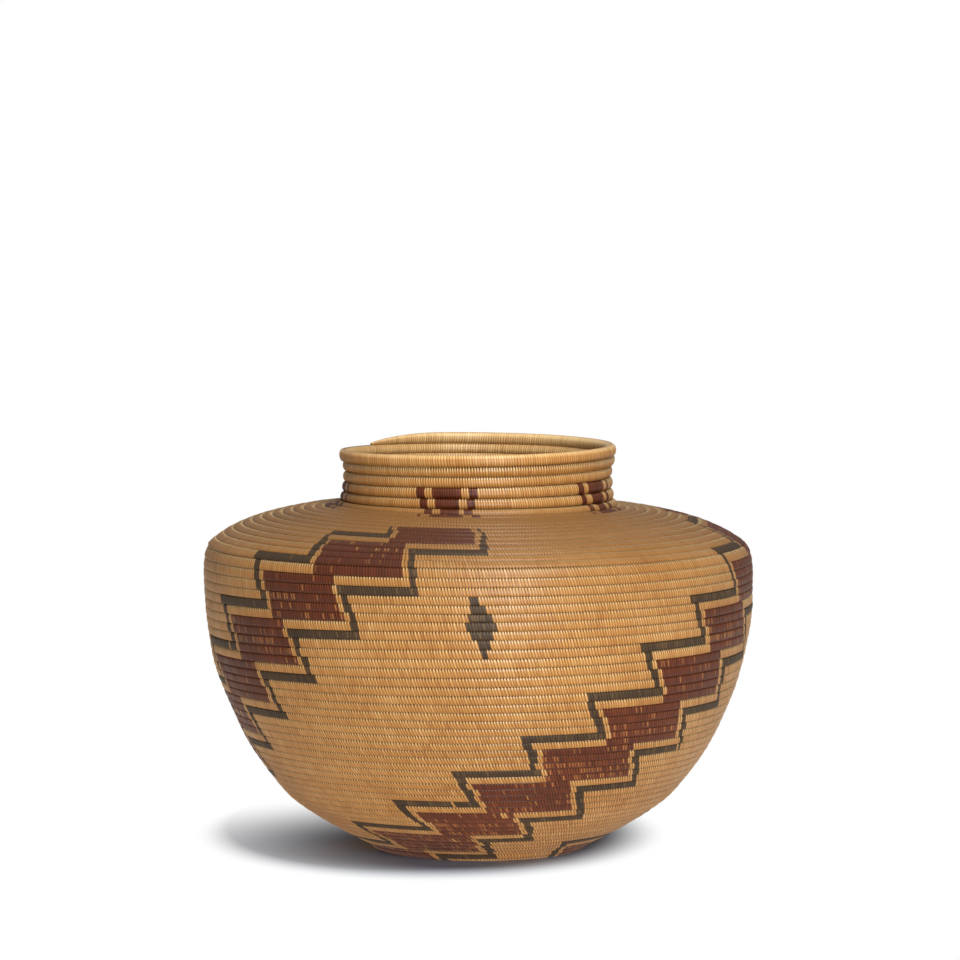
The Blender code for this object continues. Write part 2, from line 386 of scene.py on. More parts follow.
@dataclass(frozen=True)
class Pattern:
    """Stepped bands, diamonds and neck marks, laid out by row and by angle.

    Rows are counted down from the rim.  An outline of a band is a stair: each step is a dark bar one
    row high, given as (row, left end, right end), and a dark upright runs from a bar's left end down
    to the right end of the next bar.  The last step only says where its upright ends.  Diamonds and
    neck marks are lists of runs, also given as (row, left end, right end).
    """

    # Angles from which the bands with their diamonds, and the neck marks, are counted
    band_starts: Tuple[float, ...] = (-360.0, -239.0, -118.05, 0.0, 121.0, 241.95, 360.0)
    neck_starts: Tuple[float, ...] = (-285.0, -216.0, -144.0, -72.0, 0.0, 75.0, 144.0, 216.0, 288.0)

    # Rows between which the bands show
    top_row: int = 12
    bottom_row: int = 64

    # Width of a dark upright and of the light gap beside it; the uprights are thin at the top
    upright: float = 0.0038
    clear: float = 0.0030
    thin_rows: Tuple[float, float] = (12.0, 16.0)
    thin_share: float = 0.5

    # How far a row of a band strays to the side
    ragged: float = 0.0006
    ragged_seed: int = 23

    # The two outlines of a band, its diamond and the neck marks
    upper_steps: Tuple[Tuple[float, float, float], ...] = (
        (9, 91.8, 110.5), (14, 77.4, 94.8), (19, 62.8, 80.3), (24, 49.7, 68.9), (29, 36.1, 55.8),
        (34, 23.4, 42.8), (39, 9.6, 29.7), (44, -6.6, 15.6), (49, -24.3, 0.0), (54, -48.4, -16.2),
        (59, -84.0, -40.0), (64, -140.0, -72.0),
    )
    lower_steps: Tuple[Tuple[float, float, float], ...] = (
        (10, 117.9, 119.3), (17, 102.6, 120.7), (22, 88.0, 105.7), (27, 74.9, 93.2), (32, 64.0, 81.3),
        (37, 52.1, 69.2), (42, 40.2, 57.3), (47, 26.0, 46.1), (52, 12.3, 33.6), (57, -0.7, 21.0),
        (62, -23.3, 8.7), (67, -60.0, -14.0),
    )
    diamond: Tuple[Tuple[int, float, float], ...] = (
        (23, -1.6, 0.0), (24, -1.7, 1.4), (25, -2.2, 2.8), (26, -2.9, 3.8), (27, -1.6, 3.1),
        (28, -0.3, 2.5), (29, 0.3, 1.8),
    )
    neck_marks: Tuple[Tuple[int, float, float], ...] = (
        (4, -26.8, -23.6), (4, -20.0, -6.6), (4, -3.1, -0.1), (5, -24.7, -21.5), (5, -17.9, -8.0),
        (5, -4.2, -0.8), (6, -21.6, -18.4), (6, -15.5, -12.0), (6, -11.4, -8.2), (6, -5.6, -2.2),
        (7, -24.0, -22.0), (7, -18.4, -5.8), (7, -2.3, 0.9),
    )

    def strands(self, row: np.ndarray, angle: np.ndarray, radius: np.ndarray) -> np.ndarray:
        """Strand of each stitch.

        Args:
            row: Rows from the rim, whole numbers.
            angle: Angles around the basket, in degrees.
            radius: Radii of the bundle's middle.

        Returns:
            Values of Strand.
        """
        found = np.full(row.shape, Strand.SEDGE.value)
        upright = np.degrees(self.upright / radius) * np.interp(row, self.thin_rows, (self.thin_share, 1.0))
        clear = np.degrees(self.clear / radius)
        random = np.random.default_rng(self.ragged_seed)
        shifts = random.normal(0.0, self.ragged, (int(row.max()) + 1, len(self.band_starts)))
        for index, start in enumerate(self.band_starts):
            turned = angle - start + np.degrees(shifts[row, index] / radius)
            dark_up, edge_up = self._stair(self.upper_steps, row, turned, upright, inner_right=True)
            _, above = self._stair(self.upper_steps, row - 1, turned, upright, inner_right=True)
            dark_low, edge_low = self._stair(self.lower_steps, row, turned, upright, inner_right=False)
            _, below = self._stair(self.lower_steps, row + 1, turned, upright, inner_right=False)
            shown = (row >= self.top_row) & (row <= self.bottom_row)
            red = (turned >= np.maximum(edge_up, above) + clear)
            red &= (turned <= np.minimum(edge_low, below) - clear) & shown
            found[red] = Strand.REDBUD.value
            found[(dark_up | dark_low) & shown] = Strand.BRACKEN.value
            self._marks(found, self.diamond, row, angle - start, Strand.BRACKEN)
        for start in self.neck_starts:
            self._marks(found, self.neck_marks, row, angle - start, Strand.REDBUD)
        return found

    @staticmethod
    def _marks(found: np.ndarray, marks: Sequence[Tuple[int, float, float]], row: np.ndarray,
               angle: np.ndarray, strand: Strand) -> None:
        """Set the strand of each run of stitches in a list of marks."""
        for mark_row, left, right in marks:
            found[(row == mark_row) & (angle >= left) & (angle <= right)] = strand.value

    @staticmethod
    def _stair(steps: Sequence[Tuple[float, float, float]], row: np.ndarray, angle: np.ndarray,
               upright: np.ndarray, inner_right: bool) -> Tuple[np.ndarray, np.ndarray]:
        """Dark stitches of one outline, and the edge that it turns to the inside of the band.

        Args:
            steps: Bars as (row, left end, right end).
            row: Rows from the rim.
            angle: Angles around the basket.
            upright: Width of an upright, in degrees.
            inner_right: True where the inside of the band is to the right of the outline.

        Returns:
            Which stitches are dark, and the edge's angle at each stitch.
        """
        rows = np.array([step[0] for step in steps])
        lefts = np.array([step[1] for step in steps])
        rights = np.array([step[2] for step in steps])
        index = np.clip(np.searchsorted(rows, row, side="right") - 1, 0, len(rows) - 2)
        share = np.clip((row - rows[index]) / (rows[index + 1] - rows[index]), 0.0, 1.0)
        on_bar = row == rows[index]
        lean = lefts[index] + share * (rights[index + 1] - upright - lefts[index])
        left = np.where(on_bar, lefts[index], lean)
        right = np.where(on_bar, rights[index], lean + upright)
        dark = (angle >= left) & (angle <= right)
        return dark, right if inner_right else left


# Finishes

@dataclass(frozen=True)
class StrandFinish:
    """Split plant strand: satin skin, each strand a little lighter or darker than the next."""

    name: str
    pale: str
    middle: str
    deep: str
    shoulder_colour: str
    # The groove colour paints shade and dust deep in the grooves; the colour after it paints a highlight
    # with wear on the stitches' tops, and light inside the neck
    groove: str
    wear_highlight: str
    core: str
    core_strength: float
    roughness: float
    fibre_depth: float
    streak: float

    # Share of a groove's depth from which it gets the full painted shade and dust
    full_depth: float = 0.82

    # How much smoother the strands are under the painted highlight and wear, and how much of that pale mix
    # the darkest strands get
    polish: float = 0.15
    least_wear_highlight: float = 0.5

    # Real sizes of the surface, in millimetres, and how often a fibre changes along its length, per metre
    fibre_width_mm: float = 0.45
    blotch_mm: float = 28.0
    fibre_changes: float = 30.0

    # Middle part of a noise that is used, and how strongly the blotches change a strand's tone
    noise_range: Tuple[float, float] = (0.3, 0.7)
    blotch_tone: float = 0.16
    blotch_detail: float = 3.0
    blotch_roughness: float = 0.55
    fibre_detail: float = 2.0
    fibre_bump: float = 0.35

    # How far the core mark must reach before the core begins to show, and shows in full
    core_range: Tuple[float, float] = (0.50, 0.95)

    # Plant skin reflects less than the default
    specular: float = 0.30

    def build(self) -> bpy.types.Material:
        """Build the material: tone of the strand, a mix towards the shoulder colour by row, fibres, painted
        shade and dust in the grooves, and a painted highlight with wear.

        Returns:
            The finished material.
        """
        material = bpy.data.materials.new(self.name)
        material.use_nodes = True
        tree = material.node_tree
        shader = tree.nodes["Principled BSDF"]
        tone, age, depth, wear_highlight, core = (
            add_node(tree, "ShaderNodeAttribute", {"attribute_name": name})
            for name in ("tone", "age", "depth", "wear_highlight", "core")
        )
        place = add_node(tree, "ShaderNodeTexCoord")
        low, high = self.noise_range
        blotch = add_node(tree, "ShaderNodeTexNoise", {"noise_dimensions": "3D"}, {
            "Vector": place.outputs["Object"], "Scale": 1000 / self.blotch_mm,
            "Detail": self.blotch_detail, "Roughness": self.blotch_roughness,
        })
        spread = add_node(tree, "ShaderNodeMapRange", None, {
            "Value": blotch.outputs[0], "From Min": low, "From Max": high, "To Min": -self.blotch_tone,
            "To Max": self.blotch_tone,
        })
        mixed_tone = add_node(tree, "ShaderNodeMath", {"operation": "ADD", "use_clamp": True}, {
            0: tone.outputs["Fac"], 1: spread.outputs[0],
        })
        ramp = add_node(tree, "ShaderNodeValToRGB", None, {"Fac": mixed_tone.outputs[0]})
        ramp.color_ramp.elements[0].color = srgb(self.deep)
        ramp.color_ramp.elements[1].color = srgb(self.pale)
        ramp.color_ramp.elements.new(0.5).color = srgb(self.middle)
        shoulder_colour = add_node(tree, "ShaderNodeMix", {"data_type": "RGBA"}, {
            "Factor": age.outputs["Fac"], "A": ramp.outputs[0], "B": srgb(self.shoulder_colour),
        })
        stretch = add_node(tree, "ShaderNodeMapping", None, {
            "Vector": place.outputs["UV"],
            "Scale": (1 / (self.fibre_width_mm / 1000), self.fibre_changes, 1.0),
        })
        fibres = add_node(tree, "ShaderNodeTexNoise", {"noise_dimensions": "2D"}, {
            "Vector": stretch.outputs[0], "Scale": 1.0, "Detail": self.fibre_detail,
        })
        streak = add_node(tree, "ShaderNodeMapRange", None, {
            "Value": fibres.outputs[0], "From Min": low, "From Max": high, "To Min": 1 - self.streak,
            "To Max": 1 + self.streak,
        })
        streaked = add_node(tree, "ShaderNodeVectorMath", {"operation": "SCALE"}, {
            0: shoulder_colour.outputs["Result"], "Scale": streak.outputs[0],
        })
        # Painted highlight with wear: a mix towards the pale colour on the stitches' tops and inside the
        # neck, less on darker strands
        highlight_by_tone = add_node(tree, "ShaderNodeMapRange", None, {
            "Value": mixed_tone.outputs[0], "To Min": self.least_wear_highlight, "To Max": 1.0,
        })
        highlight_share = add_node(tree, "ShaderNodeMath", {"operation": "MULTIPLY"}, {
            0: wear_highlight.outputs["Fac"], 1: highlight_by_tone.outputs[0],
        })
        highlighted = add_node(tree, "ShaderNodeMix", {"data_type": "RGBA"}, {
            "Factor": highlight_share.outputs[0], "A": streaked.outputs[0], "B": srgb(self.wear_highlight),
        })
        # Painted shade and dust: the deeper a point lies in a groove, the more it takes the groove colour
        sunk = add_node(tree, "ShaderNodeMapRange", None, {
            "Value": depth.outputs["Fac"], "From Max": self.full_depth,
        })
        shaded = add_node(tree, "ShaderNodeMix", {"data_type": "RGBA"}, {
            "Factor": sunk.outputs[0], "A": highlighted.outputs["Result"], "B": srgb(self.groove),
        })
        gap = add_node(tree, "ShaderNodeMapRange", {"interpolation_type": "SMOOTHSTEP"}, {
            "Value": core.outputs["Fac"], "From Min": self.core_range[0], "From Max": self.core_range[1],
            "To Min": 0.0, "To Max": self.core_strength,
        })
        spread_open = add_node(tree, "ShaderNodeMix", {"data_type": "RGBA"}, {
            "Factor": gap.outputs[0], "A": shaded.outputs["Result"], "B": srgb(self.core),
        })
        bump = add_node(tree, "ShaderNodeBump", None, {
            "Height": fibres.outputs[0], "Strength": self.fibre_bump, "Distance": self.fibre_depth,
        })
        tree.links.new(spread_open.outputs["Result"], shader.inputs["Base Color"])
        tree.links.new(bump.outputs[0], shader.inputs["Normal"])
        polish = add_node(tree, "ShaderNodeMapRange", None, {
            "Value": wear_highlight.outputs["Fac"], "To Min": self.roughness, "To Max": self.roughness - self.polish,
        })
        tree.links.new(polish.outputs[0], shader.inputs["Roughness"])
        shader.inputs["Specular IOR Level"].default_value = self.specular
        return material


# In each finish the groove colour is painted shade and dust, and the pale colour after it is a painted
# highlight with wear
# Sedge root: peeled and split, honey tan, with a soft waxy shine on its skin side.
SEDGE_ROOT = StrandFinish(
    name="sedge_root_split_and_scraped", pale="E4B06E", middle="D09550", deep="B4773A", shoulder_colour="976C3E",
    groove="4A2A0E", wear_highlight="FFE0A4", core="C99A5C", core_strength=0.0, roughness=0.36,
    fibre_depth=0.00008, streak=0.07,
)
# Redbud shoot: bark side out, red-brown, a little duller than the root.
REDBUD_SHOOT = StrandFinish(
    name="redbud_bark_side_out", pale="8A4119", middle="6E2D10", deep="501E0B", shoulder_colour="653B27",
    groove="1C0904", wear_highlight="9C5A36", core="D49552", core_strength=0.80, roughness=0.42,
    fibre_depth=0.00008, streak=0.10,
)
# Bracken root: dyed in mud, dark grey-brown, matt.
BRACKEN_ROOT = StrandFinish(
    name="bracken_root_dyed_in_mud", pale="5A452E", middle="473523", deep="33261A", shoulder_colour="523F2B",
    groove="180F08", wear_highlight="705A3E", core="C09862", core_strength=0.30, roughness=0.55,
    fibre_depth=0.00008, streak=0.10,
)


# One stitch, modelled from listed corners

@dataclass(frozen=True)
class StitchCorner:
    """One corner of the sleeve: where it lies as (out, up), how much painted shade and dust it gets on the
    crest and in the groove, and how much painted highlight with wear on the crest.
    """

    crest: Tuple[float, float]
    groove: Tuple[float, float]
    crest_depth: float
    groove_depth: float
    crest_wear_highlight: float


class StitchMaster:
    """A sleeve of bundle one stitch long, whose rings are copied along the spiral.

    Its axis is X.  +Y faces out of the wall and +Z faces the next round.  The sleeve has three rings:
    a groove at each end and the crest of the strand between them.  Its half sizes are one.  A strand
    lies flat on the face of the round and bends in at the top, where the next round's strands grip it.
    """

    # Corners of the outer half, from the lowest to the highest; the inner half mirrors them.
    # The depths paint shade and dust between the rounds and on the row's lower edge; the last number paints
    # a highlight with wear on the row's top
    CORNERS: Tuple[StitchCorner, ...] = (
        StitchCorner((0.0, -1.00), (0.0, -1.00), 0.85, 1.0, 0.0),
        StitchCorner((0.78, -1.10), (0.74, -1.09), 0.10, 0.75, 0.0),
        StitchCorner((0.985, -0.98), (0.94, -0.97), 0.0, 0.62, 0.0),
        StitchCorner((1.00, -0.55), (0.945, -0.55), 0.0, 0.55, 0.0),
        StitchCorner((1.00, 0.20), (0.945, 0.20), 0.0, 0.55, 0.08),
        StitchCorner((0.99, 0.64), (0.90, 0.58), 0.0, 0.85, 0.80),
        StitchCorner((0.86, 1.02), (0.55, 0.96), 0.0, 1.0, 1.0),
        StitchCorner((0.0, 1.00), (0.0, 0.95), 0.85, 1.0, 0.0),
    )
    SIDES: int = 2 * (len(CORNERS) - 1)

    # Half of the way from the crest to a groove, and how near a picked corner must be
    HALF_WAY: float = 0.25
    NEAR: float = 0.02

    def __init__(self) -> None:
        """Model the sleeve and read its rings and its stains."""
        self.crest, self.groove = self._model()
        middle = len(self.CORNERS) // 2
        inner, outer = list(range(middle - 1, 0, -1)), list(range(len(self.CORNERS)))
        order = inner + outer + list(range(len(self.CORNERS) - 2, middle - 1, -1))
        around = [self.CORNERS[index] for index in order]
        self.crest_depth = np.array([corner.crest_depth for corner in around])
        self.groove_depth = np.array([corner.groove_depth for corner in around])
        self.crest_wear_highlight = np.array([corner.crest_wear_highlight for corner in around])
        angles = math.pi * (np.array(order) / (len(self.CORNERS) - 1) - 0.5)
        side = np.repeat((-1.0, 1.0, -1.0), (len(inner), len(outer), self.SIDES - len(inner) - len(outer)))
        self.circle = np.stack([side * np.cos(angles), np.sin(angles)], axis=1)

    def _model(self) -> Tuple[np.ndarray, np.ndarray]:
        """Model one stitch with Blender's tools.

        Returns:
            Points (out, up) of the crest and of the groove, by growing angle from the inner side.
        """
        bpy.ops.object.select_all(action="DESELECT")
        bpy.ops.mesh.primitive_cylinder_add(
            vertices=self.SIDES, radius=1.0, depth=1.0, end_fill_type="NOTHING",
        )
        sleeve = bpy.context.object
        sleeve.name = "stitch_master"
        for turn in ((0.0, math.pi / 2, 0.0), (math.pi / 2, 0.0, 0.0)):
            sleeve.rotation_euler = turn
            bpy.ops.object.transform_apply(location=True, rotation=True, scale=True)
        bpy.ops.object.mode_set(mode="EDIT")
        bpy.ops.mesh.select_all(action="SELECT")
        bpy.ops.mesh.bisect(plane_co=(0.0, 0.0, 0.0), plane_no=(1.0, 0.0, 0.0))
        for index, corner in enumerate(self.CORNERS):
            angle = math.pi * (index / (len(self.CORNERS) - 1) - 0.5)
            for crest, (out, up) in ((True, corner.crest), (False, corner.groove)):
                self._select_corner(sleeve, angle, crest)
                wide = out / math.cos(angle) if out else 1.0
                bpy.ops.transform.resize(
                    value=(1.0, wide, up / math.sin(angle)), center_override=(0.0, 0.0, 0.0),
                )
        bpy.ops.object.mode_set(mode="OBJECT")
        points = np.array([vertex.co[:] for vertex in sleeve.data.vertices])
        bpy.data.objects.remove(sleeve, do_unlink=True)
        rings = []
        for mask in (np.abs(points[:, 0]) < self.HALF_WAY, points[:, 0] < -self.HALF_WAY):
            ring = points[mask][:, 1:]
            rings.append(ring[np.argsort(np.arctan2(ring[:, 1], ring[:, 0]))])
        return rings[0], rings[1]

    def _select_corner(self, sleeve: bpy.types.Object, angle: float, crest: bool) -> None:
        """Select the vertices of one corner, on the outer and the inner half of the sleeve.

        Args:
            sleeve: Object in edit mode.
            angle: Angle at which the corner still stands, from the level.
            crest: True for the middle ring, false for the two end rings.
        """
        bpy.ops.mesh.select_all(action="DESELECT")
        mesh = bmesh.from_edit_mesh(sleeve.data)
        for vertex in mesh.verts:
            near = abs(vertex.co.y) - math.cos(angle), vertex.co.z - math.sin(angle)
            right_ring = (abs(vertex.co.x) < self.HALF_WAY) == crest
            vertex.select = right_ring and math.hypot(*near) < self.NEAR
        mesh.select_flush(False)
        bmesh.update_edit_mesh(sleeve.data)


# The sewn bundle

@dataclass(frozen=True)
class Stretch:
    """One stretch of the bundle: its CAD node, the turns where it begins and ends, and its slot."""

    node: str
    begin: float
    end: float
    slot: str


@dataclass
class SewnBundle:
    """The whole bundle with its stitches, made stretch by stretch."""

    line: WallLine
    master: StitchMaster
    pattern: Pattern
    materials: Sequence[bpy.types.Material]
    seed: int = 1907

    # Rows are counted down from the rim, and the first of these are sewn finer
    neck_rows: int = 7
    neck_spacing: float = 0.00133
    body_spacing: float = 0.00151

    # How much the stitches differ in width, and in how far they stand out
    width_spread: float = 0.16
    height_spread: float = 0.035

    # Half thickness and half height of the bundle, as shares of the room for it, and its lowest point
    thickness_share: float = 0.5
    width_share: float = 0.5
    lowest: float = 0.00005

    # Small wobble of the bundle, and bumps of the wall that neighbouring rounds share
    wobble: float = 0.00007
    wobbles_per_turn: int = 17
    sway: float = 0.00012
    sway_waves: int = 5
    sway_turns: int = 2
    sway_rates: Tuple[float, float] = (40.0, 35.0)
    line_samples: int = 40000

    # Lean of the stitches, as a slope: nearly upright at the neck, most above the heel, none in the base
    lean_rows: Tuple[float, ...] = (0.0, 6.0, 20.0, 40.0, 60.0, 66.0, 71.0)
    leans: Tuple[float, ...] = (0.10, 0.12, 0.22, 0.35, 0.5, 0.3, 0.0)

    # How far the section is a plain round one instead of the pressed stitch, and the rim's free top
    round_rows: Tuple[float, ...] = (0.0, 5.0, 7.0, 12.0, 15.0, 30.0, 74.0)
    round_shares: Tuple[float, ...] = (0.72, 0.72, 0.55, 0.55, 0.26, 0.18, 0.18)
    round_groove: float = 0.91
    round_overlap: float = 1.06
    rim_roundness: float = 0.85
    rim_rows: Tuple[float, float] = (0.5, 1.0)

    # How far each row's colour is mixed towards the shoulder colour: most on the shoulder
    shoulder_mix_rows: Tuple[float, ...] = (0.0, 4.5, 6.5, 12.0, 13.5, 15.0, 19.0, 23.0, 27.0, 74.0)
    ages: Tuple[float, ...] = (0.06, 0.14, 0.90, 0.88, 0.77, 0.83, 0.46, 0.26, 0.12, 0.08)

    # Tone of the strands: how much it differs by stitch and along the bundle, and how much darker the
    # redbud is high up
    middle_tone: float = 0.5
    tone_spread: float = 0.13
    round_tone: float = 0.07
    tones_per_turn: int = 5
    deep_red: float = 0.22
    deep_rows: Tuple[float, float] = (32.0, 46.0)

    # Light stitches that stray into the pattern
    stray_share: float = 0.0015
    stray_rows: Tuple[float, float] = (12.0, 60.0)
    stray_growth: Tuple[float, float] = (0.0, 3.0)

    # Share of the grooves that have opened on the pale core, which varies by round and along it, the
    # least that an open one shows, and how high on the section it shows
    core_share: float = 0.30
    core_choices: Tuple[float, ...] = (0.4, 1.0, 2.4)
    core_waves: Tuple[float, float] = (7.3, 2.9)
    core_wave_shift: float = 1.0
    core_least: float = 0.75
    core_reach: float = 0.9
    speck_rows: Tuple[float, float] = (17.0, 23.0)
    upper_specks: float = 0.15

    # Painted shade and dust in the grooves, and a painted highlight with wear on the crests
    wear_highlight_rows: Tuple[float, ...] = (0.0, 40.0, 55.0, 74.0)
    wear_highlight_shares: Tuple[float, ...] = (1.0, 0.9, 0.35, 0.25)
    gap_rows: Tuple[float, ...] = (0.0, 6.0, 8.0, 14.0, 20.0, 30.0, 74.0)
    gap_shares: Tuple[float, ...] = (0.58, 0.58, 0.80, 0.85, 0.75, 1.0, 1.0)

    # The rim's free top gets less painted shade and dust: how much, on which rows, and above which height of
    # the section
    rim_shade_and_dust_cut: float = 0.75
    shade_and_dust_cut_rows: Tuple[float, float] = (0.8, 1.0)
    shade_and_dust_cut_from: float = 0.5

    # Inside the neck, on the side of the section that faces in, the strands get painted light from the pale
    # highlight colour and less painted shade and dust
    inside_painted_light: float = 0.80
    inside_shade_and_dust_cut: float = 0.45
    inside_from: float = -0.3
    inside_rows: Tuple[float, float] = (6.0, 9.0)
    inside_depth: float = 0.5

    pieces: List[bpy.types.Object] = field(default_factory=list)

    def __post_init__(self) -> None:
        """Measure the bundle's length against its turns, and draw its slow wobble."""
        self.random = np.random.default_rng(self.seed)
        sizes = self.line.sizes
        self.fine_turns = np.linspace(sizes.start_turns, self.line.last_turn, self.line_samples)
        radius, _ = self.line.at(self.line.place(self.fine_turns))
        middle = (radius[1:] + radius[:-1]) / 2
        steps = 2 * math.pi * middle * np.diff(self.fine_turns)
        self.fine_lengths = np.concatenate([[0.0], np.cumsum(steps)])
        knots = self.line.last_turn * self.wobbles_per_turn
        self.wobble_turns = np.linspace(0, self.line.last_turn, knots)
        self.wobble_out = self.random.normal(0.0, self.wobble, knots)
        self.sway_starts = self.random.uniform(0.0, 2 * math.pi, (self.sway_waves, 2))
        self.tone_turns = np.linspace(0, self.line.last_turn, self.line.last_turn * self.tones_per_turn)
        self.tone_along = self.random.normal(0.0, self.round_tone, len(self.tone_turns))
        self.core_rounds = self.core_share * self.random.choice(self.core_choices, self.line.last_turn + 1)

    def _sway(self, angle: np.ndarray, length: np.ndarray) -> np.ndarray:
        """Gentle bumps of the whole wall, which neighbouring rounds share.

        Args:
            angle: Angles around the basket, in radians.
            length: Lengths along the wall.

        Returns:
            How far the wall stands out.
        """
        total = np.zeros(angle.shape)
        slowest, step = self.sway_rates
        for index, (first, second) in enumerate(self.sway_starts):
            around = np.sin((index + self.sway_turns) * angle + first)
            total += around * np.sin(length * (slowest + step * index) + second)
        return total * self.sway

    def stretches(self) -> List[Stretch]:
        """Divide the bundle as the CAD nodes do.

        Returns:
            The stretches, from the base up.
        """
        sizes = self.line.sizes
        turns = [int(turn) for turn in self.line.turns]
        base_end, wall_end, shoulder_end, neck_end = turns[1], turns[5], turns[6], turns[7]
        inner_end = round(base_end * sizes.inner_base_share)
        base, wall, shoulder = "sedge_root_base", "sedge_root_wall", "sedge_root_shoulder"
        rows = [
            Stretch("base_start", sizes.start_turns, sizes.start_rounds, base),
            Stretch("base_inner_rounds", sizes.start_rounds, inner_end, base),
            Stretch("base_outer_rounds", inner_end, base_end, base),
        ]
        courses = sizes.wall_courses + 1
        for index in range(courses):
            name = "wall_course_%d" % index if index else "heel_rounds"
            begin = base_end + round((wall_end - base_end) * index / courses)
            end = base_end + round((wall_end - base_end) * (index + 1) / courses)
            rows.append(Stretch(name, begin, end, wall))
        middle = (wall_end + shoulder_end) // 2
        rows += [
            Stretch("shoulder_outer_rounds", wall_end, middle, shoulder),
            Stretch("shoulder_inner_rounds", middle, shoulder_end, shoulder),
            Stretch("neck_foot_round", shoulder_end, shoulder_end + 1, shoulder),
            Stretch("neck_rounds", shoulder_end + 1, neck_end - 1, wall),
            Stretch("rim_round", neck_end - 1, neck_end, wall),
        ]
        return rows

    def build(self) -> List[bpy.types.Object]:
        """Sew every stretch and tie it to the frame.

        Returns:
            The pieces, from the base up.
        """
        for stretch in self.stretches():
            piece = self._sew(stretch)
            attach(piece, "root")
            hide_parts(stretch.node)
            self.pieces.append(piece)
            LOG.info("%s: %d faces", piece.name, len(piece.data.polygons))
        return self.pieces

    def _stitch_turns(self, stretch: Stretch) -> np.ndarray:
        """Turns where one stitch ends and the next begins.

        Args:
            stretch: Stretch of the bundle.

        Returns:
            Turns, from the stretch's begin to its end.
        """
        begin, end = np.interp([stretch.begin, stretch.end], self.fine_turns, self.fine_lengths)
        row = self.line.last_turn - (stretch.begin + stretch.end) / 2
        spacing = self.neck_spacing if row < self.neck_rows else self.body_spacing
        count = int(round((end - begin) / spacing))
        widths = 1 + self.random.uniform(-self.width_spread, self.width_spread, count)
        places = np.concatenate([[0.0], np.cumsum(widths)])
        places = begin + places / places[-1] * (end - begin)
        return np.interp(places, self.fine_lengths, self.fine_turns)

    def _sew(self, stretch: Stretch) -> bpy.types.Object:
        """Wind copies of the stitch along one stretch and weld them into a closed tube.

        Args:
            stretch: Stretch of the bundle.

        Returns:
            The finished piece.
        """
        bounds = self._stitch_turns(stretch)
        count = len(bounds) - 1
        turns = np.empty(2 * count + 1)
        turns[0::2] = bounds
        turns[1::2] = (bounds[1:] + bounds[:-1]) / 2
        crest = np.zeros(len(turns), dtype=bool)
        crest[1::2] = True
        points = self._rings(turns, crest)
        sides = self.master.SIDES
        rings = len(turns)
        vertices = points.reshape(-1, 3)
        start = np.arange(rings - 1)[:, None] * sides
        here = np.arange(sides)[None, :]
        after = (here + 1) % sides
        quads = np.stack([start + here, start + after, start + sides + after, start + sides + here], axis=2)
        quads = quads.reshape(-1, 4)
        faces = [tuple(face) for face in quads.tolist()]
        faces.append(tuple(range(sides - 1, -1, -1)))
        faces.append(tuple(range((rings - 1) * sides, rings * sides)))
        mesh = bpy.data.meshes.new("sewn_" + stretch.node)
        mesh.from_pydata(vertices.tolist(), [], faces)
        self._dress(mesh, turns, count)
        mesh.shade_smooth()
        piece = bpy.data.objects.new("sewn_" + stretch.node, mesh)
        bpy.context.scene.collection.objects.link(piece)
        return piece

    def _rings(self, turns: np.ndarray, crest: np.ndarray) -> np.ndarray:
        """Points of every ring along the bundle.

        Args:
            turns: Turn of each ring.
            crest: True where the ring is a strand's crest, false in a groove.

        Returns:
            Points as (ring, side, xyz).
        """
        sizes, line = self.line.sizes, self.line
        behind = line.last_turn - turns
        angle = np.radians(sizes.end_angle) - 2 * math.pi * behind
        length = line.place(turns)
        radius, height = line.at(length)
        slope, pitch = line.slope(length), line.pitch(turns)
        grown = self._grown(turns)

        # Half sizes of the section, wider where the wall's unevenness stretches it
        lifts = [line.uneven(height + side * pitch / 2, angle)[1] for side in (-1, 1)]
        stretch = 1 + (lifts[1] - lifts[0]) / pitch * np.abs(np.sin(slope))
        spread = self.random.uniform(-self.height_spread, self.height_spread, len(turns))
        out_half = pitch * self.thickness_share * grown * np.where(crest, 1 + spread, 1.0)
        up_half = pitch * self.width_share * grown * stretch

        # Place of the bundle's middle: its tip sinks onto the round below, and the wall has small bumps
        ends = turns > line.last_turn - sizes.end_taper_turns
        sunk = np.where(ends, pitch * self.width_share * (1 - grown), 0.0)
        height = np.maximum(height - sunk, pitch * self.thickness_share)
        bump = np.interp(turns, self.wobble_turns, self.wobble_out) + self._sway(angle, length)
        radius = radius + bump * np.sin(slope)
        height = height - np.minimum(bump, 0.0) * np.cos(slope) * np.sin(slope)

        # The section bends with the wall, so that rounds still meet where the wall turns sharply
        shape = self._section(behind, crest)
        out = shape[:, :, 0] * out_half[:, None]
        before, after = (line.slope(line.place(turns + step)) for step in (-0.5, 0.5))
        up = shape[:, :, 1] * up_half[:, None] * (1 + out * ((after - before) / pitch)[:, None])
        along = -np.interp(behind, self.lean_rows, self.leans)[:, None] * up
        ring_radius = radius[:, None] + out * np.sin(slope)[:, None] + up * np.cos(slope)[:, None]
        ring_height = height[:, None] - out * np.cos(slope)[:, None] + up * np.sin(slope)[:, None]
        aside, lift = line.uneven(height, angle)
        sine, cosine = np.sin(angle)[:, None], np.cos(angle)[:, None]
        return np.stack([
            ring_radius * sine + along * cosine + aside[:, None],
            -ring_radius * cosine + along * sine,
            np.maximum(ring_height + lift[:, None], self.lowest),
        ], axis=2)

